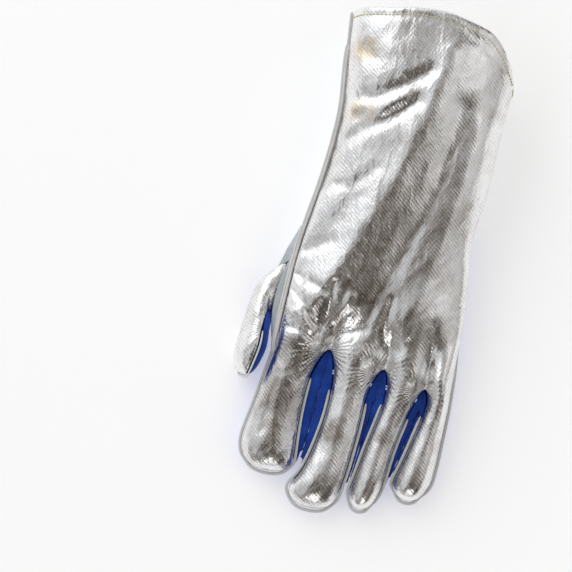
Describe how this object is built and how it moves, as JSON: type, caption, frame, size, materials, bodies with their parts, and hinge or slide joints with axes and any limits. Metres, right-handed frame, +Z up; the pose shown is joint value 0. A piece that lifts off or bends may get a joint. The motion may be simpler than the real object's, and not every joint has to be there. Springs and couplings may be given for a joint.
{
  "type": "aluminized welding glove",
  "caption": "Left-hand gauntlet welding glove with an aluminized back, a suede palm, a reinforced palm patch and an open cuff.",
  "frame": {"origin": "middle of the glove's box, on the surface it lies on", "axes": "+Z up out of the back of the hand, +Y towards the cuff's opening, -X towards the thumb"},
  "size_m": [0.1572, 0.3574, 0.072],
  "materials": {
    "aluminized_cloth": "aluminized cloth, crinkled and shiny",
    "blue_suede": "napped suede",
    "grey_suede": "napped suede",
    "welt_leather": "matt split leather"
  },
  "bodies": {
    "root": {"back_panel": "aluminized_cloth", "thumb_back": "aluminized_cloth", "palm_panel": "blue_suede", "middle_finger_palm": "blue_suede", "ring_finger_palm": "blue_suede", "thumb_palm": "blue_suede", "fourchette_index_middle": "blue_suede", "fourchette_middle_ring": "blue_suede", "fourchette_ring_little": "blue_suede", "palm_cuff": "grey_suede", "palm_reinforcement": "grey_suede", "welt_index_side": "welt_leather", "welt_little_side": "welt_leather", "welt_middle": "welt_leather", "welt_ring": "welt_leather", "welt_middle_base": "welt_leather", "welt_ring_base": "welt_leather", "welt_thumb": "welt_leather"}
  },
  "joints": []
}
